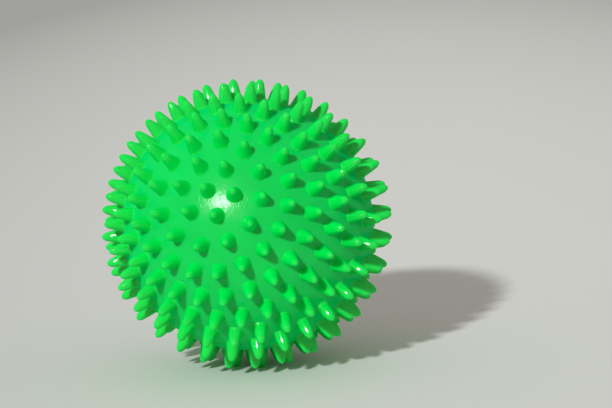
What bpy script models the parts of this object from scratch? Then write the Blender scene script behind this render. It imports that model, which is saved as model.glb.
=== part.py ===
# Spiky massage ball, 90 mm over its spikes.
# The hollow skin and its 301 spikes are one soft moulding, made in a mould of two halves.
# A separate soft valve sits in the skin where the far pole's spike would be, and a stopper pin
# closes it. The ball stands as it rests on a floor: three neighbouring spikes carry it, and their
# tips are pressed flat.
import math

import bmesh
import bpy
from mathutils import Matrix, Quaternion, Vector

# Ball and spikes, in metres
BALL_DIAMETER = 0.0900       # over the spike tips
SPIKE_HEIGHT = 0.0061        # from the skin to the tip
SPIKE_TIP_RADIUS = 0.0012
VALLEY_WIDTH = 0.0025        # bare skin between the feet of the two closest spikes
SKIN_WALL = 0.0024
REST_FLATTENING = 0.0004     # how far the spikes that carry the ball are pressed in
CLEARANCE = 0.0003           # between pieces that touch

# Spike pattern: rings round a pole in each half of the mould, from the pole to the parting plane
SPIKES_IN_RING = (1, 6, 12, 19, 24, 27, 30, 32)
PARTING_ANGLE = 7.0          # from the parting plane to the last ring, in degrees
FRONT_RING_TURNS = (0.0, -7.0, -6.0, -6.5, 8.0, 2.5, -1.0, 0.5)
BACK_RING_TURNS = (0.0, -7.0, -6.0, -6.5, -1.5, -0.5, -0.5, 6.0)

# Rest: the half, ring and place of the three spikes that carry the ball
REST_SPIKES = (("back", 6, 22), ("back", 6, 23), ("back", 5, 20))
REST_SPIN = -16.6            # turn of the resting ball about the vertical, in degrees

# Valve and stopper
VALVE_RADIUS = 0.0032        # the sleeve where it passes through the skin
VALVE_LENGTH = 0.0090        # from its outer face to its inner end
VALVE_STEM_RADIUS = 0.0027   # the sleeve below its flange
VALVE_END_RADIUS = 0.0023
FLANGE_RADIUS = 0.0060       # the collar that lies against the inside of the skin
FLANGE_THICKNESS = 0.0011
STOPPER_RADIUS = 0.0013
STOPPER_LENGTH = 0.0080      # of the pin, below its head
STOPPER_POINT_LENGTH = 0.0016
STOPPER_POINT_RADIUS = 0.0006
STOPPER_HEAD_RADIUS = 0.0027
STOPPER_HEAD_HEIGHT = 0.0011
STOPPER_HEAD_EDGE = 0.0005   # height of the head's straight side, below its dome

# Fineness of the round shapes
SPIKE_SIDES = 6
TURNED_STEPS = 32
DOME_STEPS = 3
CAVITY_STEPS = 16
FLANGE_STEPS = 3

ball_radius = BALL_DIAMETER / 2
skin_radius = ball_radius - SPIKE_HEIGHT
cavity_radius = skin_radius - SKIN_WALL
merge_distance = 1e-5
parts = bpy.data.collections.new("spiky_massage_ball")
cutters = bpy.data.collections.new("cutters")


def spike_directions():
    # With the pattern's front pole on +Z. The valve takes the place of the back pole's spike.
    directions = {}
    ring_step = (90.0 - PARTING_ANGLE) / (len(SPIKES_IN_RING) - 1)
    for half, side, turns in (("front", 1, FRONT_RING_TURNS), ("back", -1, BACK_RING_TURNS)):
        for ring, count in enumerate(SPIKES_IN_RING):
            if half == "back" and ring == 0:
                continue
            polar = math.radians(ring * ring_step)
            for place in range(count):
                around = math.radians(turns[ring] + 360.0 * place / count)
                flat = Vector((math.cos(around), math.sin(around), 0.0)) * math.sin(polar)
                directions[half, ring, place] = flat + Vector((0.0, 0.0, side * math.cos(polar)))
    return directions


def closest_angle(directions):
    # The angle at the ball's centre between the two closest spikes
    vectors = list(directions.values())
    largest_dot = max(a.dot(b) for i, a in enumerate(vectors) for b in vectors[:i])
    return math.acos(largest_dot)


def resting_turn(directions):
    # Turns the pattern so that the plane through the three resting tips lies level below the centre
    first, second, third = (directions[name] for name in REST_SPIKES)
    down = (second - first).cross(third - first).normalized()
    if down.dot(first) < 0:
        down.negate()
    level = down.rotation_difference(Vector((0.0, 0.0, -1.0)))
    return Quaternion((0.0, 0.0, 1.0), math.radians(REST_SPIN)) @ level, down.dot(first)


def material(name, colour, roughness):
    made = bpy.data.materials.new(name)
    made.use_nodes = True
    made.diffuse_color = (*colour, 1.0)
    shader = made.node_tree.nodes["Principled BSDF"]
    shader.inputs["Base Color"].default_value = (*colour, 1.0)
    shader.inputs["Roughness"].default_value = roughness
    shader.inputs["Metallic"].default_value = 0.0
    return made


def add_object(name, bm, collection, parent=None):
    mesh = bpy.data.meshes.new(name)
    bm.to_mesh(mesh)
    bm.free()
    made = bpy.data.objects.new(name, mesh)
    made.parent = parent
    collection.objects.link(made)
    return made


def add_empty(name, parent=None):
    made = bpy.data.objects.new(name, None)
    made.parent = parent
    parts.objects.link(made)
    return made


def turned(name, profile, collection, parent, closed):
    # A profile of (radius, height) points, from the top down the outer side, turned about local Z
    bm = bmesh.new()
    points = [bm.verts.new((radius, 0.0, height)) for radius, height in profile]
    for above, below in zip(points, points[1:]):
        bm.edges.new((above, below))
    if closed:
        bm.edges.new((points[-1], points[0]))
    made = add_object(name, bm, collection, parent)
    screw = made.modifiers.new("Turn", "SCREW")
    screw.axis = "Z"
    screw.angle = math.tau
    screw.steps = TURNED_STEPS
    screw.render_steps = TURNED_STEPS
    screw.use_merge_vertices = True
    screw.merge_threshold = merge_distance
    screw.use_smooth_shade = True
    return made


def cut(target, cutter):
    cutter.hide_render = True
    cutter.display_type = "WIRE"
    boolean = target.modifiers.new("Cut " + cutter.name, "BOOLEAN")
    boolean.operation = "DIFFERENCE"
    boolean.solver = "EXACT"
    boolean.object = cutter


def arc(radius, start, end, steps):
    # Profile points on a sphere, from one angle off the axis to another
    angles = [start + (end - start) * step / steps for step in range(steps + 1)]
    return [(radius * math.sin(angle), radius * math.cos(angle)) for angle in angles]


def make_skin(directions, parent):
    # One foot circle for each spike on the skin's sphere, and the hull of all the feet as skin
    foot_radius = skin_radius * math.sin(closest_angle(directions) / 2) - VALLEY_WIDTH / 2
    foot_level = math.sqrt(skin_radius ** 2 - foot_radius ** 2)
    lean = math.atan2(foot_radius - SPIKE_TIP_RADIUS, SPIKE_HEIGHT)
    shoulder_radius = SPIKE_TIP_RADIUS * math.cos(lean)
    shoulder_level = ball_radius - SPIKE_TIP_RADIUS * (1 - math.sin(lean))
    half_side = Matrix.Rotation(math.pi / SPIKE_SIDES, 4, "Z")
    bm = bmesh.new()
    feet = []
    for direction in directions.values():
        stand = direction.to_track_quat("Z", "Y").to_matrix().to_4x4()
        place = Matrix.Translation(direction * foot_level) @ stand @ half_side
        circle = bmesh.ops.create_circle(bm, segments=SPIKE_SIDES, radius=foot_radius, matrix=place)
        feet.append(set(circle["verts"]))
    land_level = max(-vert.co.z for vert in bm.verts)
    rims = set(bm.edges)
    bmesh.ops.convex_hull(bm, input=bm.verts)
    crossing = {
        edge
        for foot in feet
        for vert in foot
        for edge in vert.link_edges
        if edge not in rims and edge.other_vert(vert) in foot
    }
    bmesh.ops.dissolve_edges(bm, edges=list(crossing), use_verts=False)
    bmesh.ops.recalc_face_normals(bm, faces=bm.faces)
    tops = [face for face in bm.faces if set(face.verts) in feet]
    side_distance = math.cos(math.pi / SPIKE_SIDES)
    bmesh.ops.inset_individual(
        bm,
        faces=tops,
        thickness=(foot_radius - shoulder_radius) * side_distance,
        depth=shoulder_level - foot_level,
        use_even_offset=True,
    )
    bmesh.ops.poke(bm, faces=tops, offset=ball_radius - shoulder_level)
    skin = add_object("skin", bm, parts, parent)
    skin.data.materials.append(material("green_pvc", (0.004, 0.47, 0.055), 0.25))
    return skin, land_level


def make_valve(land_level, parent):
    seat_radius = cavity_radius - CLEARANCE
    neck_angle = math.asin(VALVE_RADIUS / seat_radius)
    rim_angle = math.asin(FLANGE_RADIUS / seat_radius)
    back_level = seat_radius * math.cos(rim_angle) - FLANGE_THICKNESS
    bore_radius = STOPPER_RADIUS + CLEARANCE
    end_level = land_level - VALVE_LENGTH
    profile = [(bore_radius, land_level), (VALVE_RADIUS, land_level)]
    profile += arc(seat_radius, neck_angle, rim_angle, FLANGE_STEPS)
    profile += [
        (FLANGE_RADIUS, back_level),
        (VALVE_STEM_RADIUS, back_level),
        (VALVE_END_RADIUS, end_level),
        (bore_radius, end_level),
    ]
    valve = turned("valve_sleeve", profile, parts, parent, closed=True)
    valve.data.materials.append(material("valve_pvc", (0.006, 0.33, 0.045), 0.4))
    return valve


def make_stopper(land_level, parent):
    # Its origin is on the outer face of the valve, on the line that it slides along
    under_head = CLEARANCE
    edge_top = under_head + STOPPER_HEAD_EDGE
    dome_height = STOPPER_HEAD_HEIGHT - STOPPER_HEAD_EDGE
    quarter_steps = [math.pi / 2 * step / DOME_STEPS for step in range(DOME_STEPS + 1)]
    profile = [
        (STOPPER_HEAD_RADIUS * math.sin(angle), edge_top + dome_height * math.cos(angle))
        for angle in quarter_steps
    ]
    profile += [
        (STOPPER_HEAD_RADIUS, under_head),
        (STOPPER_RADIUS, under_head),
        (STOPPER_RADIUS, under_head - STOPPER_LENGTH + STOPPER_POINT_LENGTH),
        (STOPPER_POINT_RADIUS, under_head - STOPPER_LENGTH),
        (0.0, under_head - STOPPER_LENGTH),
    ]
    stopper = turned("valve_stopper", profile, parts, parent, closed=False)
    stopper.location = (0.0, 0.0, land_level)
    stopper.data.materials.append(material("stopper_plastic", (0.80, 0.80, 0.76), 0.4))
    return stopper


def cut_air_space(skin, parent):
    # The hollow inside, and the round hole in the skin that the valve sits in
    hole_radius = VALVE_RADIUS + CLEARANCE
    hole_angle = math.asin(hole_radius / cavity_radius)
    profile = [(0.0, ball_radius), (hole_radius, ball_radius)]
    profile += arc(cavity_radius, hole_angle, math.pi, CAVITY_STEPS)
    cut(skin, turned("air_space_cutter", profile, cutters, parent, closed=False))


def cut_resting_tips(skin):
    # The floor presses the tips that carry the ball flat
    bm = bmesh.new()
    bmesh.ops.create_cube(bm, size=BALL_DIAMETER)
    floor = add_object("floor_cutter", bm, cutters)
    floor.location = (0.0, 0.0, -BALL_DIAMETER / 2)
    cut(skin, floor)


def main():
    for old in list(bpy.data.objects):
        bpy.data.objects.remove(old)
    bpy.context.scene.collection.children.link(parts)
    bpy.context.scene.collection.children.link(cutters)

    directions = spike_directions()
    turn, level_share = resting_turn(directions)
    tip_centre = ball_radius - SPIKE_TIP_RADIUS
    ball = add_empty("ball_centre")
    ball.location = (0.0, 0.0, tip_centre * level_share + SPIKE_TIP_RADIUS - REST_FLATTENING)
    ball.rotation_euler = turn.to_euler()
    outward = add_empty("valve_axis", ball)
    outward.rotation_euler = (math.pi, 0.0, 0.0)

    skin, land_level = make_skin(directions, ball)
    make_valve(land_level, outward)
    make_stopper(land_level, outward)
    cut_air_space(skin, outward)
    cut_resting_tips(skin)


main()
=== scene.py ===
import math

import bmesh
import bpy
from mathutils import Matrix, Quaternion, Vector


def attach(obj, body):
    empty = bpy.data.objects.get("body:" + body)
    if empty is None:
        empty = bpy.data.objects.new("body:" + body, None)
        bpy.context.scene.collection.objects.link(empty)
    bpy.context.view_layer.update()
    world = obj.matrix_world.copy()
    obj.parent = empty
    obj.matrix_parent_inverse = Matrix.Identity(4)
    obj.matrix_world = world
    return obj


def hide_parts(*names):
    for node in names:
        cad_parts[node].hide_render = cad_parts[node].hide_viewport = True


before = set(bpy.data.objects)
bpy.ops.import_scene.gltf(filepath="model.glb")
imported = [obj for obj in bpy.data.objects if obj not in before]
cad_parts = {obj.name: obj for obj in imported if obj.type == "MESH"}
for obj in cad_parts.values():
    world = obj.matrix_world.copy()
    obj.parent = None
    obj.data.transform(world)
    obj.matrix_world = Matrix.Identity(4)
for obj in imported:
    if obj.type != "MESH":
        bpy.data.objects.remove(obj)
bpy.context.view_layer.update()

print("Spiky massage ball: frame loaded")

# Ball and spike pattern, in metres and degrees. Rings run from a pole to the parting plane.
pattern = {
    "ballRadius": 0.0450,
    "spikeHeight": 0.0061,
    "spikesInRing": (1, 6, 12, 19, 24, 27, 30, 32),
    "partingAngle": 7.0,
    "frontTurns": (0.0, -7.0, -6.0, -6.5, 8.0, 2.5, -1.0, 0.5),
    "backTurns": (0.0, -7.0, -6.0, -6.5, -1.5, -0.5, -0.5, 6.0),
    "restSpikes": (("back", 6, 22), ("back", 6, 23), ("back", 5, 20)),
    "restSpin": -16.6,
    "solidTipRadius": 0.0012,
    "pressedIn": 0.0004,
}
skinRadius = pattern["ballRadius"] - pattern["spikeHeight"]


def spikeDirections():
    directions = {}
    ringStep = (90.0 - pattern["partingAngle"]) / (len(pattern["spikesInRing"]) - 1)
    halves = (("front", 1, pattern["frontTurns"]), ("back", -1, pattern["backTurns"]))
    for half, side, turns in halves:
        for ring, count in enumerate(pattern["spikesInRing"]):
            if half == "back" and ring == 0:
                continue    # the valve sits here
            polar = math.radians(ring * ringStep)
            for place in range(count):
                around = math.radians(turns[ring] + 360.0 * place / count)
                flat = Vector((math.cos(around), math.sin(around), 0.0)) * math.sin(polar)
                directions[half, ring, place] = flat + Vector((0.0, 0.0, side * math.cos(polar)))
    return directions


def restingPlace(directions):
    # The ball stands on the tips of three neighbouring spikes
    first, second, third = (directions[name] for name in pattern["restSpikes"])
    down = (second - first).cross(third - first).normalized()
    if down.dot(first) < 0:
        down.negate()
    level = down.rotation_difference(Vector((0.0, 0.0, -1.0)))
    spin = Quaternion((0.0, 0.0, 1.0), math.radians(pattern["restSpin"]))
    tip = pattern["solidTipRadius"]
    height = (pattern["ballRadius"] - tip) * down.dot(first) + tip - pattern["pressedIn"]
    return Matrix.Translation((0.0, 0.0, height)) @ (spin @ level).to_matrix().to_4x4()


directions = spikeDirections()
ballPlace = restingPlace(directions)
ballCentre = ballPlace.translation
poleAxis = ballPlace.to_3x3() @ Vector((0.0, 0.0, 1.0))
valvePlace = ballPlace @ Matrix.Rotation(math.pi, 4, "X")

# Camera: where the photograph was taken from, counted in ball radii from the ball's centre
camera = {
    "elevation": 8.65,
    "roll": -2.14,
    "right": 0.403,
    "up": 0.137,
    "away": 20.0,
    "lens": 171.5,
    "sensor": 36.0,
    "farthest": 50.0,
}


def makeCamera():
    data = bpy.data.cameras.new("photoCamera")
    data.lens = camera["lens"]
    data.sensor_width = camera["sensor"]
    data.clip_end = camera["farthest"]
    made = bpy.data.objects.new("photoCamera", data)
    bpy.context.collection.objects.link(made)
    tilt = Matrix.Rotation(math.radians(90.0 - camera["elevation"]), 4, "X")
    turn = tilt @ Matrix.Rotation(math.radians(camera["roll"]), 4, "Z")
    offset = Vector((camera["right"], camera["up"], camera["away"])) * pattern["ballRadius"]
    made.matrix_world = Matrix.Translation(ballCentre + turn.to_3x3() @ offset) @ turn
    bpy.context.scene.camera = made


makeCamera()
print("Camera placed")


def finishMesh(name, bm):
    mesh = bpy.data.meshes.new(name)
    bm.to_mesh(mesh)
    bm.free()
    mesh.shade_smooth()
    made = bpy.data.objects.new(name, mesh)
    bpy.context.collection.objects.link(made)
    return made


# Node tree helpers
noiseBand = (0.3, 0.7)    # most of a noise's values lie between these


def newMaterial(name):
    material = bpy.data.materials.new(name)
    material.use_nodes = True
    return material, material.node_tree, material.node_tree.nodes["Principled BSDF"]


def feed(tree, target, socket, value):
    # A socket takes another node's output, or a plain value
    if isinstance(value, bpy.types.NodeSocket):
        tree.links.new(value, target.inputs[socket])
    else:
        target.inputs[socket].default_value = value


def mathNode(tree, operation, first, second=0.0):
    node = tree.nodes.new("ShaderNodeMath")
    node.operation = operation
    feed(tree, node, 0, first)
    feed(tree, node, 1, second)
    return node.outputs[0]


def vectorNode(tree, operation, first, second, output="Vector"):
    node = tree.nodes.new("ShaderNodeVectorMath")
    node.operation = operation
    feed(tree, node, 0, first)
    feed(tree, node, 1, second)
    return node.outputs[output]


def rangeNode(tree, value, fromLow, fromHigh, toLow, toHigh):
    node = tree.nodes.new("ShaderNodeMapRange")
    for socket, item in enumerate((value, fromLow, fromHigh, toLow, toHigh)):
        feed(tree, node, socket, item)
    return node.outputs[0]


def noiseNode(tree, position, stretch, detail):
    # Stretch gives the size of the grain in metres along X, Y and Z
    mapping = tree.nodes.new("ShaderNodeMapping")
    feed(tree, mapping, "Vector", position)
    feed(tree, mapping, "Scale", [1.0 / size for size in stretch])
    noise = tree.nodes.new("ShaderNodeTexNoise")
    feed(tree, noise, "Vector", mapping.outputs["Vector"])
    feed(tree, noise, "Scale", 1.0)
    feed(tree, noise, "Detail", detail)
    return noise.outputs[0]


def mixColours(tree, share, first, second):
    node = tree.nodes.new("ShaderNodeMix")
    node.data_type = "RGBA"
    feed(tree, node, 0, share)
    feed(tree, node, 6, first)
    feed(tree, node, 7, second)
    return node.outputs[2]


def bumpNode(tree, height, distance):
    node = tree.nodes.new("ShaderNodeBump")
    feed(tree, node, "Strength", 1.0)
    feed(tree, node, "Distance", distance)
    feed(tree, node, "Height", height)
    return node.outputs["Normal"]


# Spike: a slim cone with slightly swelled sides, on a tight root and with a blunt nose
spike = {
    "rootRadius": 0.0003,
    "footRadius": 0.00224,
    "shoulderRadius": 0.00147,
    "shoulderHeight": 0.0041,
    "sideShares": (0.1, 0.65),
    "sideSwell": 0.00004,
    "noseTaper": 1.2,    # 1 is round, more is slimmer
    "noseRows": 3,
    "sides": 12,
}

# Skin: a hollow sphere with a round hole for the valve at the back pole
skin = {
    "wall": 0.0024,
    "holeRadius": 0.0035,
    "holeLip": 0.0004,
    "holeSides": 36,
    "lipRows": 3,
    "cavityRows": 12,
}


def spikeProfile():
    # (radius, height over the skin) from the root's outer edge to the last row under the apex
    root, foot, shoulder = spike["rootRadius"], spike["footRadius"], spike["shoulderRadius"]
    rise = spike["shoulderHeight"] - root
    points = [(foot + root, 0.0), (foot, root)]
    for share in spike["sideShares"]:
        swell = spike["sideSwell"] * 4 * share * (1 - share)    # fullest halfway up
        points.append((foot + (shoulder - foot) * share + swell, root + rise * share))
    nose = pattern["spikeHeight"] - spike["shoulderHeight"]
    for row in range(spike["noseRows"]):
        angle = math.pi / 2 * row / spike["noseRows"]
        inward = math.cos(angle) ** spike["noseTaper"]
        upward = math.sin(angle) ** spike["noseTaper"]
        points.append((shoulder * inward, spike["shoulderHeight"] + nose * upward))
    return points


def levelAt(radius, height=0.0):
    # Distance from the ball's centre along an axis, for a place this far off the axis
    return math.sqrt(skinRadius ** 2 - radius ** 2) + height


def holeProfile():
    # (radius, level) from the hole's lip, down the wall and round the hollow
    hole, lip = skin["holeRadius"], skin["holeLip"]
    cavity = skinRadius - skin["wall"]
    top = levelAt(hole + lip)
    points = []
    for row in range(1, skin["lipRows"] + 1):
        angle = math.pi / 2 * row / skin["lipRows"]
        points.append((hole + lip * (1 - math.sin(angle)), top - lip * (1 - math.cos(angle))))
    start = math.asin(hole / cavity)
    for row in range(skin["cavityRows"]):
        angle = start + (math.pi - start) * row / skin["cavityRows"]
        points.append((cavity * math.sin(angle), cavity * math.cos(angle)))
    return points


def addRing(bm, sides, radius, place):
    made = bmesh.ops.create_circle(bm, segments=sides, radius=radius, matrix=place)
    return set(made["verts"])


def makeSkin():
    bm = bmesh.new()
    profile = spikeProfile()
    rootOuter = profile[0][0]
    halfSide = Matrix.Rotation(math.pi / spike["sides"], 4, "Z")
    rings = []
    for direction in directions.values():
        stand = direction.to_track_quat("Z", "Y").to_matrix().to_4x4()
        place = Matrix.Translation(direction * levelAt(rootOuter)) @ stand @ halfSide
        rings.append(addRing(bm, spike["sides"], rootOuter, place))
    rootEdges = list(bm.edges)
    lipRadius = skin["holeRadius"] + skin["holeLip"]
    lipPlace = Matrix.Translation((0.0, 0.0, -levelAt(lipRadius)))
    rings.append(addRing(bm, skin["holeSides"], lipRadius, lipPlace))
    rims = set(bm.edges)

    # The skin between the spikes is stretched over their roots, then rounded to the sphere
    bmesh.ops.convex_hull(bm, input=bm.verts)
    crossing = {
        edge
        for ring in rings
        for vert in ring
        for edge in vert.link_edges
        if edge not in rims and edge.other_vert(vert) in ring
    }
    bmesh.ops.dissolve_edges(bm, edges=list(crossing), use_verts=False)
    caps = [face for face in bm.faces if set(face.verts) in rings]
    opening = [face for face in caps if face.verts[0] in rings[-1]]
    valleys = [edge for edge in bm.edges if edge not in rims]
    cut = bmesh.ops.subdivide_edges(bm, edges=valleys, cuts=1)
    for vert in {item for item in cut["geom_inner"] if isinstance(item, bmesh.types.BMVert)}:
        vert.co = vert.co.normalized() * skinRadius
    bmesh.ops.recalc_face_normals(bm, faces=bm.faces)

    # The spikes grow out of their caps row by row
    caps = [face for face in caps if face.is_valid and face not in opening]
    for face in caps:
        face.material_index = 1
    sideShare = math.cos(math.pi / spike["sides"])
    for (radius, height), (nextRadius, nextHeight) in zip(profile, profile[1:]):
        bmesh.ops.inset_individual(
            bm,
            faces=caps,
            thickness=(radius - nextRadius) * sideShare,
            depth=levelAt(nextRadius, nextHeight) - levelAt(radius, height),
            use_even_offset=True,
        )
    lastRadius, lastHeight = profile[-1]
    apex = pattern["ballRadius"] - levelAt(lastRadius, lastHeight)
    bmesh.ops.poke(bm, faces=caps, offset=apex)
    for edge in rootEdges:
        edge.smooth = False    # the skin stays round right up to each root

    # The valve's hole, and the inside of the skin
    bmesh.ops.delete(bm, geom=opening, context="FACES_ONLY")
    loop = [edge for edge in bm.edges if len(edge.link_faces) == 1]
    for radius, level in holeProfile():
        grown = bmesh.ops.extrude_edge_only(bm, edges=loop)["geom"]
        loop = [item for item in grown if isinstance(item, bmesh.types.BMEdge)]
        for vert in {vert for edge in loop for vert in edge.verts}:
            around = Vector((vert.co.x, vert.co.y)).normalized() * radius
            vert.co = Vector((around.x, around.y, -level))
    last = bmesh.ops.contextual_create(bm, geom=loop)["faces"]
    bmesh.ops.poke(bm, faces=last, offset=0.0)
    bmesh.ops.recalc_face_normals(bm, faces=bm.faces)
    bmesh.ops.transform(bm, matrix=ballPlace, verts=bm.verts)
    for vert in bm.verts:
        vert.co.z = max(vert.co.z, 0.0)    # the floor presses the lowest tips flat
    return finishMesh("spikySkin", bm)


# Finish: soft vinyl that light enters a little way, under a glossy coat
vinyl = {
    "colourDrift": 0.08,
    "driftSize": 0.012,
    "grainDetail": 2.0,
    "lightDepth": 0.0008,
    "lightReach": (0.2, 1.0, 0.4),
    "shine": 0.0,    # the coat gives all the gloss
    "coatIndex": 3.0,
    "peelSize": 0.0009,
    "peelDetail": 1.0,
    "seamWidth": 0.00035,
    "seamDepth": 0.00006,
}

# Both finishes are one vinyl: the spikes' colour is painted lighter and yellower to lift their
# shaded sides and end-on tips, and the skin's extra blue is a painted sheen of the glossy haze
# around the glare
skinVinyl = {
    "colour": (0.0, 0.56, 0.094),
    "roughness": (0.35, 0.45),
    "coat": 0.085,
    "coatRoughness": 0.235,
    "markSize": (0.0004, 0.0004, 0.008),
    "markDepth": 0.00007,    # marks of the mould spread the glare
    "peelDepth": 0.00001,
}

spikeVinyl = {
    "colour": (0.0, 0.63, 0.070),
    "roughness": (0.35, 0.45),
    "coat": 0.15,
    "coatRoughness": 0.05,
    "markSize": (0.00045, 0.00045, 0.006),
    "markDepth": 0.0,
    "peelDepth": 0.00001,
}


def makeVinyl(name, finish):
    material, tree, shader = newMaterial(name)
    position = tree.nodes.new("ShaderNodeTexCoord").outputs["Object"]
    drift = noiseNode(tree, position, (vinyl["driftSize"],) * 3, vinyl["grainDetail"])
    shade = rangeNode(tree, drift, *noiseBand, 1.0 - vinyl["colourDrift"], 1.0)
    feed(tree, shader, "Base Color", vectorNode(tree, "MULTIPLY", finish["colour"], shade))

    marks = noiseNode(tree, position, finish["markSize"], vinyl["grainDetail"])
    feed(tree, shader, "Roughness", rangeNode(tree, marks, *noiseBand, *finish["roughness"]))

    # Heights in metres: mould marks, a faint orange peel, and the line where the mould parted
    peel = noiseNode(tree, position, (vinyl["peelSize"],) * 3, vinyl["peelDetail"])
    markHeight = mathNode(tree, "MULTIPLY", marks, finish["markDepth"])
    peelHeight = mathNode(tree, "MULTIPLY", peel, finish["peelDepth"])
    offset = vectorNode(tree, "SUBTRACT", position, ballCentre)
    alongPole = vectorNode(tree, "DOT_PRODUCT", offset, poleAxis, "Value")
    offSeam = mathNode(tree, "ABSOLUTE", alongPole)
    seamHeight = rangeNode(tree, offSeam, 0.0, vinyl["seamWidth"], vinyl["seamDepth"], 0.0)
    height = mathNode(tree, "ADD", mathNode(tree, "ADD", markHeight, peelHeight), seamHeight)
    normal = bumpNode(tree, height, 1.0)
    feed(tree, shader, "Normal", normal)

    feed(tree, shader, "Coat Normal", normal)
    feed(tree, shader, "Coat Weight", finish["coat"])
    feed(tree, shader, "Coat Roughness", finish["coatRoughness"])
    feed(tree, shader, "Coat IOR", vinyl["coatIndex"])
    feed(tree, shader, "Specular IOR Level", vinyl["shine"])
    feed(tree, shader, "Subsurface Weight", 1.0)
    feed(tree, shader, "Subsurface Radius", vinyl["lightReach"])
    feed(tree, shader, "Subsurface Scale", vinyl["lightDepth"])
    return material


spikySkin = makeSkin()
spikySkin.data.materials.append(makeVinyl("skinVinyl", skinVinyl))
spikySkin.data.materials.append(makeVinyl("spikeVinyl", spikeVinyl))
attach(spikySkin, "ball")
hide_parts("skin")
print("Skin and spikes:", len(spikySkin.data.polygons), "faces")

# Turned pieces of the valve
turning = {
    "steps": 48,
    "roundingSteps": 4,
    "mergeDistance": 1e-6,
}


def axialReach(node):
    # How far a turned solid reaches along the valve's axis, from the ball's centre
    inward = valvePlace.inverted()
    levels = [(inward @ vert.co).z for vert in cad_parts[node].data.vertices]
    return min(levels), max(levels)


def turnedPiece(name, corners, closed):
    # Corners are (radius, level, rounding) from the top down, turned about the valve's axis
    bm = bmesh.new()
    points = [bm.verts.new((radius, 0.0, level)) for radius, level, rounding in corners]
    for above, below in zip(points, points[1:]):
        bm.edges.new((above, below))
    if closed:
        bm.edges.new((points[-1], points[0]))
    for point, (radius, level, rounding) in zip(points, corners):
        if rounding:
            bmesh.ops.bevel(
                bm,
                geom=[point],
                offset=rounding,
                segments=turning["roundingSteps"],
                profile=0.5,
                affect="VERTICES",
                material=-1,
            )
    bmesh.ops.spin(
        bm,
        geom=list(bm.verts) + list(bm.edges),
        axis=(0.0, 0.0, 1.0),
        cent=(0.0, 0.0, 0.0),
        angle=math.tau,
        steps=turning["steps"],
        use_merge=True,
    )
    bmesh.ops.remove_doubles(bm, verts=bm.verts, dist=turning["mergeDistance"])
    bmesh.ops.recalc_face_normals(bm, faces=bm.faces)
    bmesh.ops.transform(bm, matrix=valvePlace, verts=bm.verts)
    return finishMesh(name, bm)


# Valve sleeve: a soft tube with a collar, which seats just clear of the inside of the skin
sleeve = {
    "neckRadius": 0.0032,
    "neckRounding": 0.0004,
    "mouthRadius": 0.0020,
    "mouthRounding": 0.0001,
    "mouthDepth": 0.0005,
    "boreRadius": 0.0016,
    "collarRadius": 0.0060,
    "collarThickness": 0.0011,
    "collarRounding": 0.0003,
    "stemRadius": 0.0027,
    "stemRounding": 0.0003,
    "endRadius": 0.0023,
    "endRounding": 0.0002,
    "seatGap": 0.0003,
}


def makeSleeve():
    end, face = axialReach("valve_sleeve")
    seat = skinRadius - skin["wall"] - sleeve["seatGap"]
    neckLevel = math.sqrt(seat ** 2 - sleeve["neckRadius"] ** 2)
    rimLevel = math.sqrt(seat ** 2 - sleeve["collarRadius"] ** 2)
    backLevel = rimLevel - sleeve["collarThickness"]
    corners = (
        (sleeve["mouthRadius"], face, sleeve["mouthRounding"]),
        (sleeve["neckRadius"], face, sleeve["neckRounding"]),
        (sleeve["neckRadius"], neckLevel, 0.0),
        (sleeve["collarRadius"], rimLevel, sleeve["collarRounding"]),
        (sleeve["collarRadius"], backLevel, sleeve["collarRounding"]),
        (sleeve["stemRadius"], backLevel, sleeve["stemRounding"]),
        (sleeve["endRadius"], end, sleeve["endRounding"]),
        (sleeve["boreRadius"], end, sleeve["endRounding"]),
        (sleeve["boreRadius"], face - sleeve["mouthDepth"], 0.0),
    )
    return turnedPiece("valveSleeve", corners, closed=True)


# Stopper: a small pin with a domed head, which has the gate mark of its moulding
stopper = {
    "headRadius": 0.0027,
    "headHeight": 0.0011,
    "headEdge": 0.0006,
    "headSink": 0.0002,
    "shoulderRounding": 0.0003,
    "edgeRounding": 0.00015,
    "underRounding": 0.0002,
    "crownRadius": 0.0013,
    "crownRounding": 0.0006,
    "gateRadius": 0.0005,
    "gateDepth": 0.00015,
    "gateRounding": 0.0001,
    "pinRadius": 0.0013,
    "ribHeight": 0.0001,
    "ribWidth": 0.0005,
    "ribRounding": 0.00005,
    "ribPlaces": (0.0022, 0.0044),
    "pointLength": 0.0016,
    "pointRadius": 0.0006,
    "pointRounding": 0.0003,
}


def makeStopper():
    end, top = axialReach("valve_stopper")
    under = top - stopper["headHeight"] - stopper["headSink"]
    shoulder = under + stopper["headEdge"] + stopper["headSink"]
    gate = top - stopper["gateDepth"]
    pin = stopper["pinRadius"]
    rib = pin + stopper["ribHeight"]
    corners = [
        (0.0, gate, 0.0),
        (stopper["gateRadius"], gate, stopper["gateRounding"]),
        (stopper["gateRadius"], top, stopper["gateRounding"]),
        (stopper["crownRadius"], top, stopper["crownRounding"]),
        (stopper["headRadius"], shoulder, stopper["shoulderRounding"]),
        (stopper["headRadius"], under, stopper["edgeRounding"]),
        (pin, under, stopper["underRounding"]),
    ]
    for place in stopper["ribPlaces"]:
        start = under - place
        stop = start - stopper["ribWidth"]
        corners += [
            (pin, start, 0.0),
            (rib, start - stopper["ribHeight"], stopper["ribRounding"]),
            (rib, stop, stopper["ribRounding"]),
            (pin, stop - stopper["ribHeight"], 0.0),
        ]
    corners += [
        (pin, end + stopper["pointLength"], stopper["pointRounding"]),
        (stopper["pointRadius"], end, stopper["pointRounding"]),
        (0.0, end, 0.0),
    ]
    return turnedPiece("stopperPin", corners, closed=False)


# Finish: satin moulded plastic with a slight grain
sleeveFinish = {
    "colour": (0.0, 0.36, 0.040, 1.0),
    "darkest": 0.88,
    "roughness": (0.38, 0.52),
    "grain": 0.0006,
    "grainDetail": 3.0,
    "depth": 0.00002,
}

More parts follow.
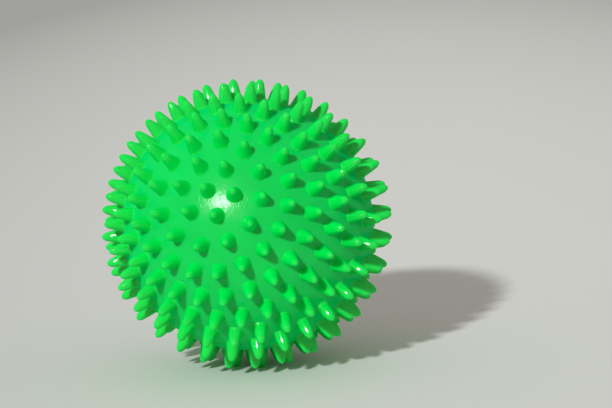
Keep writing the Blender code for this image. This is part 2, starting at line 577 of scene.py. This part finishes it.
pinFinish = {
    "colour": (0.80, 0.80, 0.76, 1.0),
    "darkest": 0.88,
    "roughness": (0.30, 0.48),
    "grain": 0.0009,
    "grainDetail": 3.0,
    "depth": 0.00002,
}


def makeSmallFinish(name, finish):
    material, tree, shader = newMaterial(name)
    position = tree.nodes.new("ShaderNodeTexCoord").outputs["Object"]
    grain = noiseNode(tree, position, (finish["grain"],) * 3, finish["grainDetail"])
    darker = [finish["darkest"] * part for part in finish["colour"][:3]] + [1.0]
    feed(tree, shader, "Base Color", mixColours(tree, grain, darker, finish["colour"]))
    feed(tree, shader, "Roughness", rangeNode(tree, grain, *noiseBand, *finish["roughness"]))
    feed(tree, shader, "Normal", bumpNode(tree, grain, finish["depth"]))
    return material


valveSleeve = makeSleeve()
valveSleeve.data.materials.append(makeSmallFinish("sleeveVinyl", sleeveFinish))
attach(valveSleeve, "ball")
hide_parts("valve_sleeve")

stopperPin = makeStopper()
stopperPin.data.materials.append(makeSmallFinish("pinPlastic", pinFinish))
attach(stopperPin, "stopper")
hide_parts("valve_stopper")
print("Valve and stopper made")

# Studio: a pale sheet with a painted pool of light on it, one low lamp from the left of the
# camera and a soft fill
studio = {
    "sheetSize": 12.0,
    # The pool colour, the darker colour and the bright place and spread below paint a pool of
    # lamp light on the sheet and its shade towards the edges
    "litPoolColour": (0.675, 0.682, 0.670, 1.0),
    "paintedShadeColour": (0.305, 0.310, 0.300, 1.0),
    "sheetRoughness": 0.9,
    "paintedLightCentre": (0.07, 0.20, 0.0),
    "paintedLightSpread": (0.52, 2.10, 1.0),
    "paintedFalloffReach": 0.5,
    "paintedFalloffMost": 0.8,
    "lampAround": 23.5,
    "lampHeight": 28.4,
    "lampStrength": 3.1,
    "lampColour": (0.94, 1.0, 0.985),
    "lampAngle": 3.2,
    "fill": 0.45,
    "fillColour": (1.0, 0.93, 0.87, 1.0),
}


def makeSheetWithPaintedLight():
    # Painted light: the sheet's colour is brightest in a pool near the ball and darkens away
    # from it, standing in for the lamp light's fall-off
    material, tree, shader = newMaterial("paleSheetWithPaintedLight")
    position = tree.nodes.new("ShaderNodeTexCoord").outputs["Object"]
    offset = vectorNode(tree, "SUBTRACT", position, studio["paintedLightCentre"])
    spread = vectorNode(tree, "DIVIDE", offset, studio["paintedLightSpread"])
    squared = vectorNode(tree, "DOT_PRODUCT", spread, spread, "Value")
    paintedFalloff = rangeNode(tree, squared, 0.0, studio["paintedFalloffReach"], 0.0, studio["paintedFalloffMost"])
    colour = mixColours(tree, paintedFalloff, studio["litPoolColour"], studio["paintedShadeColour"])
    feed(tree, shader, "Base Color", colour)
    feed(tree, shader, "Roughness", studio["sheetRoughness"])
    return material


def makeStudio():
    bm = bmesh.new()
    bmesh.ops.create_grid(bm, x_segments=1, y_segments=1, size=studio["sheetSize"] / 2)
    floor = finishMesh("floorSheet", bm)
    floor.data.materials.append(makeSheetWithPaintedLight())

    lamp = bpy.data.lights.new("keyLamp", "SUN")
    lamp.energy = studio["lampStrength"]
    lamp.color = studio["lampColour"]
    lamp.angle = math.radians(studio["lampAngle"])
    made = bpy.data.objects.new("keyLamp", lamp)
    bpy.context.collection.objects.link(made)
    around, height = math.radians(studio["lampAround"]), math.radians(studio["lampHeight"])
    toLamp = Vector((
        -math.sin(around) * math.cos(height),
        -math.cos(around) * math.cos(height),
        math.sin(height),
    ))
    made.rotation_euler = toLamp.to_track_quat("Z", "Y").to_euler()

    world = bpy.data.worlds.new("studioFill")
    world.use_nodes = True
    background = world.node_tree.nodes["Background"]
    background.inputs["Color"].default_value = studio["fillColour"]
    background.inputs["Strength"].default_value = studio["fill"]
    bpy.context.scene.world = world


makeStudio()
bpy.context.scene.view_settings.view_transform = "Standard"
print("Studio lit")
